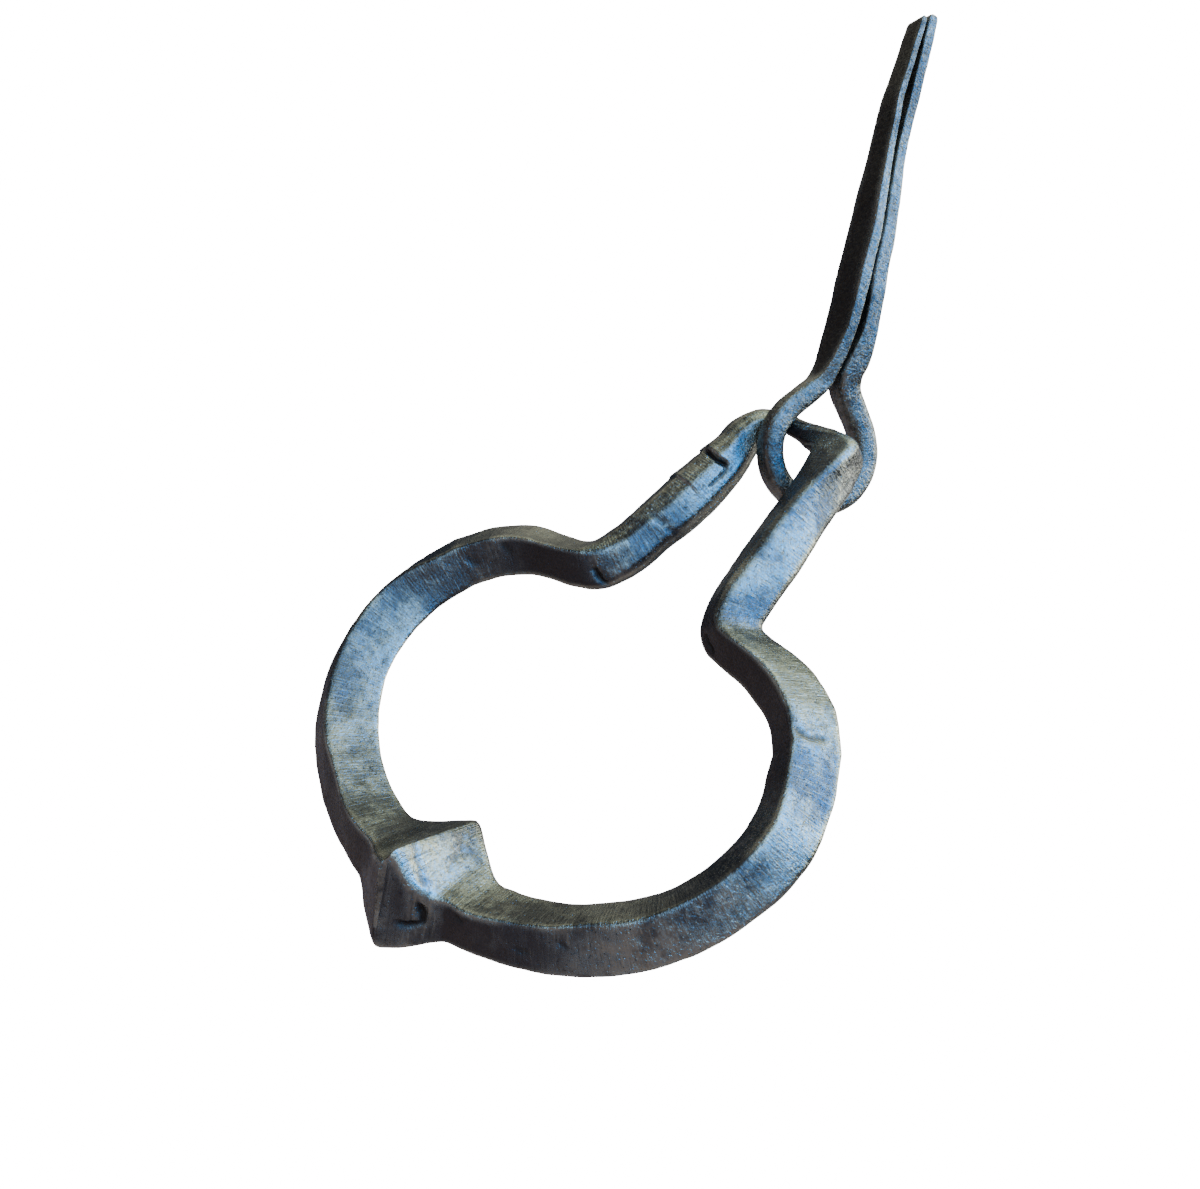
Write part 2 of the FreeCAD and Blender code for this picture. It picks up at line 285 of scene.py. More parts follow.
def ring_path(rows):
    """Rows round the whole loop: boss, right bow, neck and crossbar, left neck, left bow.

    Each row holds inner x, inner z, outer x, outer z, half-thickness, flats, corners, turn and
    lean. The rows are closest where the stretches named above call for a finer mesh.
    """
    keys = np.array([np.concatenate([i, o, rest]) for i, o, *rest
                     in RIGHT_NECK + CROSSBAR + LEFT_NECK[::-1]])
    walked = walked_length((keys[:, :2] + keys[:, 2:4]) / 2)
    neck = smooth_curve(walked, keys, np.linspace(0, walked[-1], NECK_SAMPLES))
    loop = np.vstack([bow_rows(1), neck, bow_rows(-1)[:0:-1]])
    closed = np.vstack([loop, loop[:1]])
    walked = walked_length((closed[:, :2] + closed[:, 2:4]) / 2)
    total = walked[-1]
    fine = 1 + sum(FINE_EXTRA * np.exp(-((walked - share * total) / half) ** 2)
                   for share, half in FINE_STRETCHES)
    effort = np.concatenate([[0], np.cumsum((fine[1:] + fine[:-1]) / 2 * np.diff(walked))])
    at = np.interp(np.linspace(0, effort[-1], rows, endpoint=False), effort, walked)
    return np.stack([np.interp(at, walked, column) for column in closed.T], -1), at


def ring_surface(rows=880, columns=112):
    """Points of the ring: at each row a square on edge, its corners blunted.

    Point = middle + (outer edge - inner edge) / 2 * (r cos t + lean * |r sin t|), and -y = half
    thickness * r sin t, where r(t) is the faceted section and t runs round the bar from the
    outer edge through the front ridge. Also gives the distance walked along the bar, t, and how
    near each point is to a corner.
    """
    path, walked = ring_path(rows)
    inner, outer = path[:, 0:2], path[:, 2:4]
    across, flats, corners, turned, lean = [path[:, k, None] for k in range(4, 9)]
    middle = ((inner + outer) / 2)[:, None, :]
    half = ((outer - inner) / 2)[:, None, :]
    turn = np.linspace(0, 2 * np.pi, columns, endpoint=False)[None, :]
    facing = turn - np.radians(turned)
    quarter = math.pi / 2
    radius = facet_radius(facing, [quarter * (k + 0.5) for k in range(4)]
                          + [quarter * k for k in range(4)], [flats] * 4 + [corners] * 4,
                          RING_SHARPNESS)
    on_a_line = np.stack([walked, 0 * walked, 0 * walked], -1)
    wander = RIDGE_WANDER * value_noise(on_a_line, WANDER_CELL, 7)[:, None]
    front = radius * np.sin(turn)
    out = radius * np.cos(turn) + (lean + wander) * np.abs(front)
    place = middle + half * out[..., None]
    points = np.stack([place[..., 0], -across * front, place[..., 1]], -1)
    edge = 1 - np.abs(np.sin(2 * facing)) ** 0.5
    return points, walked, turn, edge


def surface_normals(points, close_rows):
    """Unit normals of a grid of points from its two tangents, pointing out of the metal."""
    if close_rows:
        along = np.roll(points, -1, 0) - np.roll(points, 1, 0)
    else:
        along = np.gradient(points, axis=0)
    round_it = np.roll(points, -1, 1) - np.roll(points, 1, 1)
    normal = np.cross(along, round_it)
    return normal / np.maximum(np.linalg.norm(normal, axis=-1, keepdims=True), 1e-9)


def hammered(points, normals, seed, strength, from_joint):
    """Move points along their normals by three sizes of smooth noise, as hammering leaves them.

    Near the joint, where ring and pin rub on each other, they are worn smooth.
    """
    strength = strength * smooth_step(from_joint, WORN_SMOOTH, WORN_UNTIL)
    lift = sum(depth * value_noise(points, cell, seed + kind)
               for kind, (depth, cell) in enumerate(HAMMER_MARKS))
    return points + normals * (strength * lift)[..., None], lift


def both_ways(walked):
    """Distance from the start of the path: positive over its first half, negative over its second.

    On the ring this is the distance from the boss, positive up the right side.
    """
    return np.where(walked > walked[-1] / 2, walked - walked[-1], walked)


def grain_lines(walked, turn):
    """A vector that runs along the bar in its first part and round the bar in the others."""
    along = both_ways(walked)[:, None] + 0 * turn
    return np.stack([along, GRAIN_GIRTH * np.cos(turn) + 0 * along,
                     GRAIN_GIRTH * np.sin(turn) + 0 * along], -1)


def warm_reflection_share(normals, side):
    """1 where the metal faces the given way, 0 opposite: a painted brown reflection of a warm floor.
    """
    side = np.array(side) / np.linalg.norm(side)
    return smooth_step(normals @ side, *WARM_REFLECTION_SPREAD)


WARM_REFLECTION_SPREAD = (-0.1, 0.8)            # cosine of the angle to that way, from none to the full painted brown reflection

# Flaws of the forging, as lines of (distance from the boss, degrees round the bar from its outer
# edge through the front ridge), then half-width and depth.
FLAWS = [
    ([(-152.4, 62), (-151.9, 93), (-151.7, 112), (-152.6, 129)], 0.85, 1.0),   # lap of the weld
    ([(-152.6, 129), (-151.7, 141), (-149.2, 141), (-146.6, 139)], 0.5, 0.4),
    ([(-120.1, 136), (-120.5, 158), (-121.3, 174)], 0.8, 0.8),                 # left shoulder
    ([(121.0, 153), (119.8, 154), (119.0, 160)], 0.9, 0.7),                    # right shoulder
    ([(3.7, 29), (5.1, 32), (6.4, 39), (6.4, 58), (5.9, 69)], 1.1, 0.9),       # pit in the boss
    ([(-2.0, 122), (0.7, 107), (2.4, 103), (4.1, 100), (5.1, 96)], 0.5, 0.25),
    ([(2.2, 160), (3.9, 154), (5.4, 158)], 0.45, 0.2),
    ([(5.7, 125), (4.6, 138), (4.4, 148)], 0.4, 0.18),
    ([(92.2, 80), (91.4, 64), (91.9, 33)], 1.0, 0.35),                         # mark over the bow
    ([(-134.1, 105), (-134.6, 130)], 1.1, 0.3),
    ([(-134.8, 150), (-135.3, 167)], 0.8, 0.25),
    ([(-90.7, 120), (-91.4, 134)], 1.3, 0.3),
    ([(-99.6, 108), (-100.4, 124)], 1.3, 0.3),
    ([(12.0, 74), (13.2, 69)], 0.9, 0.35),
    ([(31.6, 61), (32.4, 55)], 0.8, 0.3),
    ([(44.7, 58), (45.2, 66)], 0.7, 0.25),
    ([(24.0, 40), (25.5, 36)], 1.0, 0.3),
]
# Laps of the weld: where each edge lies, how proud it stands, and the run over which that dies.
WELD_LAP = ((-152.2, 0.55, 7.0), (-143.6, 0.35, 8.0))
LAP_STEP = 0.5                   # width of the step up at the edge
LAP_END = -170.0                 # the laps aren't carried past here
LAP_FACING = 0.9                 # angle round the bar, in radians, that they face
LAP_SPREAD = (-0.2, 0.6)         # cosine of the angle from it, from nothing to full
FLAW_RAGGED = 0.22               # how far a flaw's outline strays, and over what size
FLAW_RAGGED_CELL = 1.1
FLAW_BLACK = (0.15, 0.7)         # share of the depth at which a flaw begins to blacken, and is black
WARM_REFLECTION_SIDE = (-0.35, 0.1, -0.9)   # the way the ring's faces turn to take the painted brown reflection of a warm floor, mostly down


def flaw_depths(points, along, turn, girth):
    """How deep each point is sunk by the flaws, and how black it is.

    Depth = full depth * (1 - distance from the flaw's line / half-width), never under nothing.
    Distance is measured on the unrolled skin, made ragged by noise.
    """
    ragged = FLAW_RAGGED * value_noise(points, FLAW_RAGGED_CELL, 61)
    depth = np.zeros(girth.shape)
    black = np.zeros(girth.shape)
    for line, half, full in FLAWS:
        for (s1, d1), (s2, d2) in zip(line, line[1:]):
            across = np.radians(d2 - d1) * girth
            gone = along - s1 + 0 * girth
            round_it = (turn - math.radians(d1)) * girth
            squared = (s2 - s1) ** 2 + across ** 2
            share = np.clip((gone * (s2 - s1) + round_it * across) / squared, 0, 1)
            away = np.hypot(gone - share * (s2 - s1), round_it - share * across) + ragged
            sunk = 1 - away / half
            depth = np.maximum(depth, full * np.clip(sunk, 0, 1))
            black = np.maximum(black, smooth_step(sunk, *FLAW_BLACK) * min(1, 2 * full))
    return depth, black


def weld_laps(along, turn):
    """How proud the metal stands at the weld: a step up at each lap's edge, dying away beyond it."""
    facing = smooth_step(np.cos(turn - LAP_FACING), *LAP_SPREAD)
    proud = 0
    for edge, height, run in WELD_LAP:
        past = edge - along
        proud = proud + height * np.exp(-np.clip(past, 0, None) / run) * smooth_step(past, 0, LAP_STEP)
    return proud * facing * (along > LAP_END)


def knocker_ring():
    """The ring: faceted bar, hammered, with the weld's laps proud and the flaws sunk."""
    points, walked, turn, edge = ring_surface()
    rows, columns, _ = points.shape
    normals = surface_normals(points, True)
    from_joint = np.linalg.norm(points, axis=-1)
    points, lift = hammered(points, normals, 11, RING_HAMMERING, from_joint)
    along = both_ways(walked)[:, None]
    girth = np.linalg.norm(points - points.mean(axis=1, keepdims=True), axis=2)
    depth, black = flaw_depths(points, along, turn, girth)
    points = points + normals * (weld_laps(along, turn) - depth)[..., None]
    faces = tube_faces(rows, columns, True)
    # The ring's rust mark is painted reflection: faces turned down are browned as a warm floor below
    # would light them.
    marks = {"lift": lift, "edge": edge, "grain": grain_lines(walked, turn),
             "rust": warm_reflection_share(normals, WARM_REFLECTION_SIDE), "crack": black}
    return make_mesh("forged_ring", (points + HINGE).reshape(-1, 3), faces[:, ::-1], marks)


# ---------------------------------------------------------------- pin
def pin_rotation():
    """Turn about the pin's own length, then tilt sideways, then lean forward."""
    def about(axis, angle):
        """Matrix that turns about the x, y or z axis, 0, 1 or 2."""
        c, s = math.cos(angle), math.sin(angle)
        first, second = [k for k in range(3) if k != axis]
        m = np.eye(3)
        m[first, first] = m[second, second] = c
        sign = -1 if axis == 1 else 1
        m[first, second] = -s * sign
        m[second, first] = s * sign
        return m
    return about(0, PIN_LEAN) @ about(1, PIN_SIDE_TILT) @ about(2, -PIN_TURN)


# Leg stations: height above the eye's centre, width, thickness, and where the face at the slit
# stands, which wanders as the two legs were hammered together.
FRONT_LEG = [
    (17.0, 7.6, 2.7, -1.0), (20.0, 9.0, 2.7, -0.6), (25.0, 10.8, 2.6, -0.2), (31.0, 11.0, 2.5, -0.1),
    (39.0, 11.0, 2.4, -0.3), (47.0, 10.9, 2.1, -0.4), (56.0, 9.5, 1.9, -0.9), (64.0, 8.4, 1.7, -1.3),
    (70.0, 8.0, 1.6, -1.6), (75.0, 7.2, 1.6, -1.7), (81.0, 6.8, 1.5, -1.3), (87.0, 6.4, 1.4, -1.0),
    (93.2, 6.1, 1.2, -0.7),
]
BACK_LEG = [
    (17.0, 7.6, 5.1, -0.2), (20.0, 9.0, 4.9, 0.2), (25.0, 10.8, 4.0, 0.8), (31.0, 11.0, 3.5, 0.8),
    (39.0, 11.0, 3.3, 0.1), (47.0, 10.9, 3.0, 0.0), (56.0, 9.5, 2.7, -0.4), (64.0, 8.5, 2.5, -0.8),
    (70.0, 8.1, 2.4, -0.8), (75.0, 7.4, 2.5, -0.6), (81.0, 7.0, 2.4, -0.5), (87.0, 6.6, 2.3, -0.4),
    (94.2, 6.2, 2.1, -0.4),
]
# Necks between the legs and the eye: distance to the back, height, width, thickness.
FRONT_NECK = [(-3.0, 14.0, 6.4, 3.3), (-5.2, 10.6, 5.4, 4.4)]
BACK_NECK = [(3.3, 14.0, 6.4, 5.2), (5.9, 10.6, 5.4, 5.2)]
EYE_TURNS = (56, 78, 100, 125, 150, 180, 210, 235, 260, 282, 304)
EYE_SET_ASIDE = -0.6             # the eye's stock stands a little to the left of the legs


def pin_path(rows):
    """Middle line of the strap in the yz plane, with its width, thickness and shift along x.

    Front leg from tip to eye, round the eye, and up the back leg to its tip. The eye is a circle;
    necks join it to the legs.
    """
    front = [(y - t / 2, h, w, t, 0) for h, w, t, y in FRONT_LEG]
    back = [(y + t / 2, h, w, t, 0) for h, w, t, y in BACK_LEG]
    necks = [[(*key, EYE_SET_ASIDE / 2) for key in keys] for keys in (FRONT_NECK, BACK_NECK[::-1])]
    around = [(EYE_BEHIND_SLIT - EYE_RADIUS * math.sin(math.radians(a)),
               EYE_RADIUS * math.cos(math.radians(a)), EYE_WIDE, EYE_THICK, EYE_SET_ASIDE)
              for a in EYE_TURNS]
    keys = np.array(front[::-1] + necks[0] + around + necks[1] + back)
    walked = walked_length(keys[:, :2])
    at = np.linspace(0, walked[-1], rows)
    return smooth_curve(walked, keys, at), at


def pin_surface(rows=800, columns=96):
    """Points of the strap: a flat bar with worn edges carried along its middle line.

    Point = middle + normal * thickness / 2 * r sin t + x * width / 2 * r cos t, where r(t) is a
    rounded rectangle, 1 = |cos|^n + |sin|^n; the ends are drawn in to a blunt tip.
    """
    path, walked = pin_path(rows)
    middle, width, thick, aside = path[:, 0:2], path[:, 2], path[:, 3], path[:, 4]
    along = np.gradient(middle, walked, axis=0)
    along /= np.linalg.norm(along, axis=1, keepdims=True)
    normal = np.stack([along[:, 1], -along[:, 0]], -1)
    flatness = smooth_step(width / thick, *STRAP_ROUND)[:, None]
    turn = np.linspace(0, 2 * np.pi, columns, endpoint=False)[None, :]
    roundest, flattest = STRAP_POWERS
    power = roundest + (flattest - roundest) * flatness
    radius = (np.abs(np.cos(turn)) ** power + np.abs(np.sin(turn)) ** power) ** (-1 / power)
    from_end = np.minimum(walked, walked[-1] - walked)
    tip = np.sqrt(np.clip(1 - (1 - np.clip(from_end / TIP_RUN, 0, 1)) ** 2, 0.0, 1))
    half_width = width / 2 * (TIP_WIDE + (1 - TIP_WIDE) * tip)
    half_thick = thick / 2 * (TIP_THICK + (1 - TIP_THICK) * tip)
    across = radius * np.cos(turn) * half_width[:, None] + aside[:, None]
    through = radius * np.sin(turn) * half_thick[:, None]
    y = middle[:, None, 0] + normal[:, None, 0] * through
    z = middle[:, None, 1] + normal[:, None, 1] * through
    return np.stack([across, y, z], -1), walked, turn


def split_pin():
    """The pin: strap, hammered, closed at both tips, then turned and put in its place."""
    points, walked, turn = pin_surface()
    normals = -surface_normals(points, False)
    turned = pin_rotation()
    from_joint = np.linalg.norm(points + EYE_FROM_CROSSBAR @ turned, axis=-1)
    points, lift = hammered(points, normals, 41, PIN_HAMMERING, from_joint)
    rows, columns, _ = points.shape
    placed = points.reshape(-1, 3) @ turned.T + (HINGE + EYE_FROM_CROSSBAR)
    faces = [tuple(f) for f in tube_faces(rows, columns, False)]
    faces.append(tuple(range(columns))[::-1])
    last = (rows - 1) * columns
    faces.append(tuple(range(last, last + columns)))
    edge = 1 - np.abs(np.sin(2 * (turn - math.pi / 4))) ** 0.5 + 0 * lift
    on_flats = np.abs(np.sin(turn)) ** 3
    rust = LEG_RUST * on_flats * smooth_step(points[..., 2], *LEG_RUST_HEIGHTS) + 0 * lift
    marks = {"lift": lift, "edge": edge, "grain": grain_lines(walked, turn), "rust": rust,
             "crack": 0 * lift}
    return make_mesh("forged_pin", placed, faces, marks)


# ---------------------------------------------------------------- materials
BRIGHT_IRON = (0.60, 0.57, 0.44)
SCRATCH_DIRT = (0.03, 0.028, 0.026)
PORE_BLACK = (0.018, 0.013, 0.010)
# Stretch of the grain: fine along the bar and long round it, so its streaks cross the bar.
GRAIN_STRETCH = (2.6, 0.22, 0.22)


def add(tree, kind, links=None, **settings):
    """A node with its settings made and its inputs linked or filled, by input name or number."""
    node = tree.nodes.new(kind)
    for label, value in settings.items():
        setattr(node, label, value)
    for socket, value in (links or {}).items():
        if isinstance(value, bpy.types.NodeSocket):
            tree.links.new(value, node.inputs[socket])
        else:
            node.inputs[socket].default_value = value
    return node


def math_node(tree, operation, first, second=0.0, clamp=False):
    """Result of one sum on two values or sockets."""
    return add(tree, "ShaderNodeMath", {0: first, 1: second}, operation=operation,
               use_clamp=clamp).outputs[0]


def between(tree, value, low, high, to_low=0.0, to_high=1.0):
    """Value mapped smoothly from low..high to to_low..to_high."""
    return add(tree, "ShaderNodeMapRange", {"Value": value, "From Min": low, "From Max": high,
                                            "To Min": to_low, "To Max": to_high},
               interpolation_type="SMOOTHSTEP").outputs["Result"]


def mixed(tree, share, first, second):
    """Colour that goes from the first to the second as the share goes from 0 to 1."""
    node = add(tree, "ShaderNodeMix", {"Factor": share}, data_type="RGBA")
    for socket, value in ((6, first), (7, second)):
        if isinstance(value, bpy.types.NodeSocket):
            tree.links.new(value, node.inputs[socket])
        else:
            node.inputs[socket].default_value = (*value, 1)
    return node.outputs[2]


def noise(tree, place, scale, detail, roughness, distortion=0.0):
    """Cloudy pattern from 0 to 1; the scale is in patches per unit of the place."""
    return add(tree, "ShaderNodeTexNoise", {"Vector": place, "Scale": scale, "Detail": detail,
                                            "Roughness": roughness,
                                            "Distortion": distortion}).outputs["Fac"]


def new_group(name, inputs, outputs):
    """A shader node group with named sockets; gives the tree, its inputs and its output node."""
    group = bpy.data.node_groups.new(name, "ShaderNodeTree")
    for label, kind in inputs:
        group.interface.new_socket(label, in_out="INPUT", socket_type=kind)
    for label, kind in outputs:
        group.interface.new_socket(label, in_out="OUTPUT", socket_type=kind)
    source = group.nodes.new("NodeGroupInput")
    return group, source.outputs, group.nodes.new("NodeGroupOutput")


def forge_skin_group():
    """Colour, roughness and metal share of old forged iron.

    Blue-black scale and olive-grey worn iron lie in soft patches a few centimetres long, fine
    dark specks lie in the pores, brown rust lies in random patches and where the Rust mark
    says, which on the ring is a painted brown reflection of a warm floor on the faces turned
    down, and the corners are rubbed bright.
    """
    tree, given, out = new_group(
        "forge_skin",
        [("Place", "NodeSocketVector"), ("Grain", "NodeSocketVector"), ("Edge", "NodeSocketFloat"),
         ("Lift", "NodeSocketFloat"), ("Rust", "NodeSocketFloat"), ("Crack", "NodeSocketFloat"),
         ("Wear", "NodeSocketFloat"), ("Scale colour", "NodeSocketColor"),
         ("Iron colour", "NodeSocketColor"), ("Rust colour", "NodeSocketColor")],
        [("Colour", "NodeSocketColor"), ("Roughness", "NodeSocketFloat"),
         ("Metal", "NodeSocketFloat")])
    patches = noise(tree, given["Place"], scale=55.0, detail=4.0, roughness=0.6, distortion=0.4)
    mottle = noise(tree, given["Place"], scale=420.0, detail=4.0, roughness=0.7)
    pores = noise(tree, given["Place"], scale=1900.0, detail=2.0, roughness=0.6)
    brushed = noise(tree, given["Grain"], scale=1.0, detail=3.0, roughness=0.6)
    blend = math_node(tree, "ADD", math_node(tree, "MULTIPLY", patches, 0.7),
                      math_node(tree, "MULTIPLY", mottle, 0.45))
    blend = math_node(tree, "ADD", blend, math_node(tree, "MULTIPLY", given["Lift"], 0.5))
    worn = between(tree, blend, low=0.46, high=0.68)
    colour = mixed(tree, worn, given["Scale colour"], given["Iron colour"])
    # Brown share: random real rust from the mottle, plus the Rust mark, which on the ring is painted
    # reflection browning the faces turned down as a warm floor would light them.
    rust_share_and_reflection = math_node(tree, "ADD", math_node(tree, "MULTIPLY", mottle, 0.7),
                     math_node(tree, "MULTIPLY", given["Rust"], 0.7))
    rust_and_warm_reflection = between(tree, rust_share_and_reflection, low=0.5, high=0.95)
    colour = mixed(tree, rust_and_warm_reflection, colour, given["Rust colour"])
    rubbed = math_node(tree, "MULTIPLY", between(tree, given["Edge"], low=0.35, high=0.8),
                       between(tree, patches, low=0.35, high=0.6))
    rubbed = math_node(tree, "MULTIPLY", rubbed, given["Wear"])
    streak = math_node(tree, "MULTIPLY", between(tree, brushed, low=0.52, high=0.72), 0.5)
    streak = math_node(tree, "MULTIPLY", streak, math_node(tree, "SUBTRACT", 1.0, rust_and_warm_reflection))
    scratched = between(tree, brushed, low=0.28, high=0.44, to_low=0.5, to_high=0.0)
    colour = mixed(tree, scratched, colour, SCRATCH_DIRT)
    bright = math_node(tree, "MAXIMUM", rubbed, math_node(tree, "MULTIPLY", streak, given["Wear"]))
    colour = mixed(tree, bright, colour, BRIGHT_IRON)
    specks = between(tree, pores, low=0.60, high=0.70, to_high=0.75)
    dark = math_node(tree, "MAXIMUM", specks, given["Crack"])
    colour = mixed(tree, dark, colour, PORE_BLACK)
    rough = between(tree, mottle, low=0.3, high=0.7, to_low=0.10, to_high=0.18)
    rough = math_node(tree, "ADD", rough, math_node(tree, "MULTIPLY", rust_and_warm_reflection, 0.22))
    rough = math_node(tree, "SUBTRACT", rough, math_node(tree, "MULTIPLY", bright, 0.08))
    rough = math_node(tree, "ADD", rough, math_node(tree, "MULTIPLY", dark, 0.25), clamp=True)
    metal = math_node(tree, "SUBTRACT", 0.97, math_node(tree, "MULTIPLY", rust_and_warm_reflection, 0.45))
    metal = math_node(tree, "SUBTRACT", metal, math_node(tree, "MULTIPLY", dark, 0.4), clamp=True)
    for label, value in (("Colour", colour), ("Roughness", rough), ("Metal", metal)):
        tree.links.new(value, out.inputs[label])
    return tree


def forge_relief_group():
    """Height of the fine relief: file strokes across the bar, wrinkled skin, sand and pores."""
    tree, given, out = new_group(
        "forge_relief",
        [("Place", "NodeSocketVector"), ("Grain", "NodeSocketVector"),
         ("Strokes", "NodeSocketFloat"), ("Pores", "NodeSocketFloat")],
        [("Height", "NodeSocketFloat")])
    strokes = noise(tree, given["Grain"], scale=1.0, detail=4.0, roughness=0.65)
    wrinkles = noise(tree, given["Place"], scale=800.0, detail=5.0, roughness=0.72, distortion=0.6)
    sand = noise(tree, given["Place"], scale=2600.0, detail=2.0, roughness=0.6)
    pores = noise(tree, given["Place"], scale=1500.0, detail=2.0, roughness=0.5)
    pores = between(tree, pores, low=0.60, high=0.68)
    height = math_node(tree, "ADD", math_node(tree, "MULTIPLY", strokes, given["Strokes"]),
                       math_node(tree, "MULTIPLY", wrinkles, 1.1))
    height = math_node(tree, "ADD", height, math_node(tree, "MULTIPLY", sand, 0.55))
    height = math_node(tree, "SUBTRACT", height, math_node(tree, "MULTIPLY", pores, given["Pores"]))
    tree.links.new(height, out.inputs["Height"])
    return tree


FORGE_SKIN = forge_skin_group()
FORGE_RELIEF = forge_relief_group()


def forged_iron(name, scale_colour, iron_colour, rust_and_reflection_colour, wear, strokes, pores, depth):
    """Old forged iron; the mesh's attributes say where it is rubbed, hollow, cracked or rusted; on the
    ring the rust mark also lays a painted brown reflection of a warm floor on the faces turned down.

    Depth is how deep the fine relief is, in millimetres.
    """
    material = bpy.data.materials.new(name)
    material.use_nodes = True
    tree = material.node_tree
    shader = tree.nodes["Principled BSDF"]
    place = tree.nodes.new("ShaderNodeTexCoord").outputs["Object"]
    grain = add(tree, "ShaderNodeAttribute", attribute_name="grain").outputs["Vector"]
    grain = add(tree, "ShaderNodeMapping", {"Vector": grain, "Scale": GRAIN_STRETCH}).outputs[0]
    marks = {label: add(tree, "ShaderNodeAttribute", attribute_name=label.lower()).outputs["Fac"]
             for label in ("Edge", "Lift", "Rust", "Crack")}
    skin = tree.nodes.new("ShaderNodeGroup")
    skin.node_tree = FORGE_SKIN
    for label, value in (("Place", place), ("Grain", grain), *marks.items()):
        tree.links.new(value, skin.inputs[label])
    skin.inputs["Wear"].default_value = wear
    for label, value in (("Scale", scale_colour), ("Iron", iron_colour), ("Rust", rust_and_reflection_colour)):
        skin.inputs[label + " colour"].default_value = (*value, 1)
    relief = tree.nodes.new("ShaderNodeGroup")
    relief.node_tree = FORGE_RELIEF
    tree.links.new(place, relief.inputs["Place"])
    tree.links.new(grain, relief.inputs["Grain"])
    relief.inputs["Strokes"].default_value = strokes
    relief.inputs["Pores"].default_value = pores
    bump = add(tree, "ShaderNodeBump", {"Height": relief.outputs["Height"], "Distance": depth * MM,
                                        "Strength": 1.0})
    tree.links.new(bump.outputs["Normal"], shader.inputs["Normal"])
    tree.links.new(skin.outputs["Colour"], shader.inputs["Base Color"])
    tree.links.new(skin.outputs["Roughness"], shader.inputs["Roughness"])
    tree.links.new(skin.outputs["Metal"], shader.inputs["Metallic"])
    return material


def finish_piece(piece, body, node, material):
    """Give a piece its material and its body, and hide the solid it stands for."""
    piece.data.materials.append(material)
    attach(piece, body)
    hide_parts(node)


# The ring's rust colour is both real rust and the painted brown reflection of a warm floor on its
# faces turned down.
ring_iron = forged_iron("ring_iron_worn", scale_colour=(0.095, 0.095, 0.095),
                        iron_colour=(0.30, 0.295, 0.25), rust_and_reflection_colour=(0.045, 0.032, 0.029),
                        wear=0.45, strokes=1.2, pores=0.5, depth=0.12)
pin_iron = forged_iron("pin_iron_dark", scale_colour=(0.075, 0.07, 0.065),
                       iron_colour=(0.19, 0.185, 0.165), rust_and_reflection_colour=(0.020, 0.012, 0.008),
                       wear=0.25, strokes=0.5, pores=0.5, depth=0.2)
finish_piece(knocker_ring(), "ring", "knocker_ring", ring_iron)
finish_piece(split_pin(), "pin", "split_pin", pin_iron)


# ---------------------------------------------------------------- stage, light and camera
WHITE = 18.0                     # brightness of the bare studio as the camera sees it
FLOOR_HALF = 6.0                 # metres
FLOOR_LEVEL = -0.35
FLOOR_COLOUR = (0.27, 0.17, 0.14, 1)


def floor():
    """A wide pale floor; to the metal it gives back the warm dim light of a wooden one."""
    mesh = bpy.data.meshes.new("floor")
    corners = [(-1, -1), (1, -1), (1, 1), (-1, 1)]
    mesh.from_pydata([(x * FLOOR_HALF, y * FLOOR_HALF, FLOOR_LEVEL) for x, y in corners],
                     [], [(0, 1, 2, 3)])
    piece = bpy.data.objects.new("floor", mesh)
    bpy.context.scene.collection.objects.link(piece)
    material = bpy.data.materials.new("pale_floor")
    material.use_nodes = True
    tree = material.node_tree
    shader = tree.nodes["Principled BSDF"]
    shader.inputs["Base Color"].default_value = FLOOR_COLOUR
    shader.inputs["Roughness"].default_value = 0.9
    seen = tree.nodes.new("ShaderNodeLightPath").outputs["Is Camera Ray"]
    pale = add(tree, "ShaderNodeEmission", {"Color": (1, 1, 1, 1), "Strength": WHITE})
    both = add(tree, "ShaderNodeMixShader", {0: seen, 1: shader.outputs[0], 2: pale.outputs[0]})
    tree.links.new(both.outputs[0], tree.nodes["Material Output"].inputs["Surface"])
    mesh.materials.append(material)


def area_light(name, place, target, size, power, colour):
    """A round soft lamp at a place, aimed at a target, in metres and watts."""
    data = bpy.data.lights.new(name, "AREA")
    data.shape = "DISK"
    data.size = size
    data.energy = power
    data.color = colour
    lamp = bpy.data.objects.new(name, data)
    lamp.location = place
    aim = Vector(target) - Vector(place)
    lamp.rotation_euler = aim.to_track_quat("-Z", "Y").to_euler()
    bpy.context.scene.collection.objects.link(lamp)


DIM = (0.045, 0.045, 0.05)       # the room where no patch lies
# Soft patches of light round the object: direction, full within and gone beyond (degrees), colour.
# Each is laid over the ones before it.
ROOM = [
    ((0.10, -0.36, 0.92), 16, 38, (2.2, 2.6, 2.1)),
    ((0.55, -0.83, 0.06), 18, 40, (2.2, 4.2, 6.6)),
    ((0.64, -0.63, 0.45), 10, 24, (0.1, 1.2, 3.6)),
    ((0.62, -0.40, 0.68), 8, 17, (0.0, 7.5, 26.0)),
    ((0.61, 0.00, 0.79), 10, 19, (7.5, 9.0, 7.8)),
    ((-0.78, -0.02, 0.62), 14, 40, (0.74, 0.74, 0.60)),
    ((0.10, -0.15, -1.0), 25, 70, (0.16, 0.13, 0.13)),
    ((-0.90, 0.38, -0.08), 26, 44, (0.02, 0.03, 0.05)),
    ((-0.05, 0.95, 0.30), 15, 48, (0.60, 0.60, 0.58)),
]


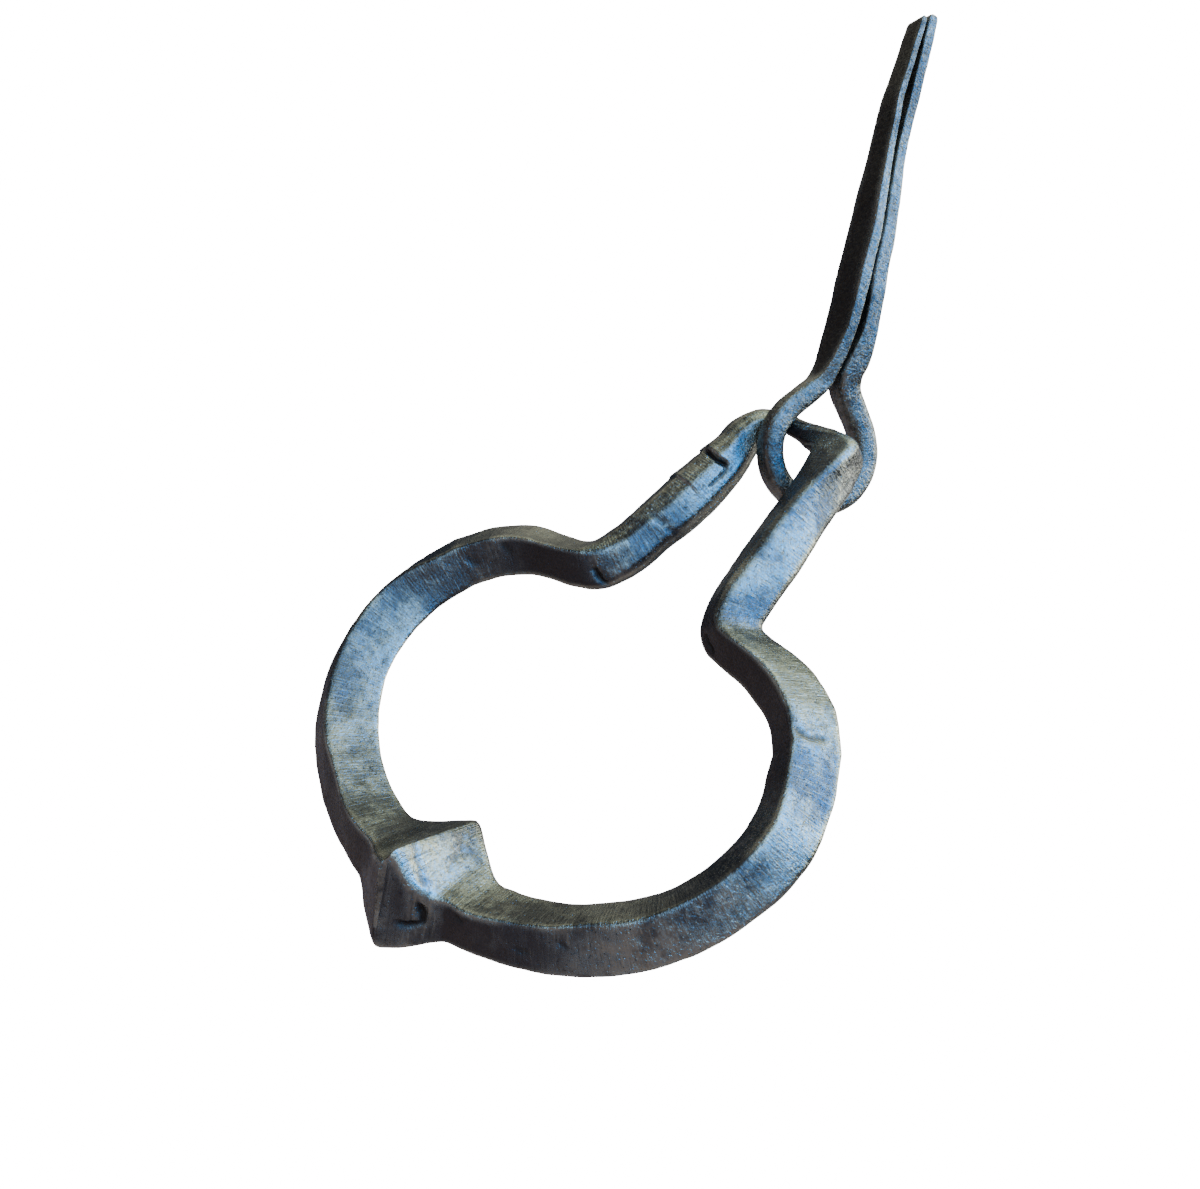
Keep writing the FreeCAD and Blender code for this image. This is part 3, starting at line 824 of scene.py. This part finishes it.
def studio():
    """World: soft patches of light by direction for the metal, plain white for the camera."""
    room = bpy.data.worlds.new("studio")
    room.use_nodes = True
    tree = room.node_tree
    toward = tree.nodes.new("ShaderNodeTexCoord").outputs["Generated"]
    colour = DIM
    for direction, inner, outer, light in ROOM:
        unit = Vector(direction).normalized()
        facing = add(tree, "ShaderNodeVectorMath", {0: toward, 1: unit}, operation="DOT_PRODUCT")
        share = between(tree, facing.outputs["Value"], math.cos(math.radians(outer)),
                        math.cos(math.radians(inner)))
        colour = mixed(tree, share, colour, light)
    background = tree.nodes["Background"]
    tree.links.new(colour, background.inputs["Color"])
    plain = add(tree, "ShaderNodeBackground", {"Color": (1, 1, 1, 1), "Strength": WHITE})
    seen = tree.nodes.new("ShaderNodeLightPath").outputs["Is Camera Ray"]
    both = add(tree, "ShaderNodeMixShader", {0: seen, 1: background.outputs[0],
                                             2: plain.outputs[0]})
    tree.links.new(both.outputs[0], tree.nodes["World Output"].inputs["Surface"])
    bpy.context.scene.world = room


SENSOR_WIDE = 36.0               # millimetres, as is the lens
LENS = 43.29
CAMERA_FROM_CROSSBAR = np.array([148.84, -224.10, -135.88])
CAMERA_HEADING = math.radians(35.682)   # left of straight back
CAMERA_RISE = math.radians(16.804)      # above level
CAMERA_ROLL = math.radians(40.131)      # its right side up
CAMERA_CLIP = 0.01               # metres


def camera():
    """The camera: heading, then rise, then roll, below and in front of the object to its right.

    Ahead = (-sin heading cos rise, cos heading cos rise, sin rise); the level right and its
    square to ahead are then turned by the roll.
    """
    data = bpy.data.cameras.new("camera")
    data.sensor_width = SENSOR_WIDE
    data.lens = LENS
    data.clip_start = CAMERA_CLIP
    ahead = Vector((-math.sin(CAMERA_HEADING) * math.cos(CAMERA_RISE),
                    math.cos(CAMERA_HEADING) * math.cos(CAMERA_RISE), math.sin(CAMERA_RISE)))
    level = Vector((math.cos(CAMERA_HEADING), math.sin(CAMERA_HEADING), 0))
    square = level.cross(ahead)
    right = level * math.cos(CAMERA_ROLL) + square * math.sin(CAMERA_ROLL)
    up = square * math.cos(CAMERA_ROLL) - level * math.sin(CAMERA_ROLL)
    place = Vector((HINGE + CAMERA_FROM_CROSSBAR) * MM)
    lens = bpy.data.objects.new("camera", data)
    lens.matrix_world = Matrix([(*row, shift) for row, shift in zip(zip(right, up, -ahead), place)]
                               + [(0, 0, 0, 1)])
    bpy.context.scene.collection.objects.link(lens)
    bpy.context.scene.camera = lens


floor()
studio()
area_light("softbox", place=(0.45, 0.30, 0.65), target=(0, 0, -0.06), size=0.40, power=4.0,
           colour=(0.95, 1, 0.97))
camera()
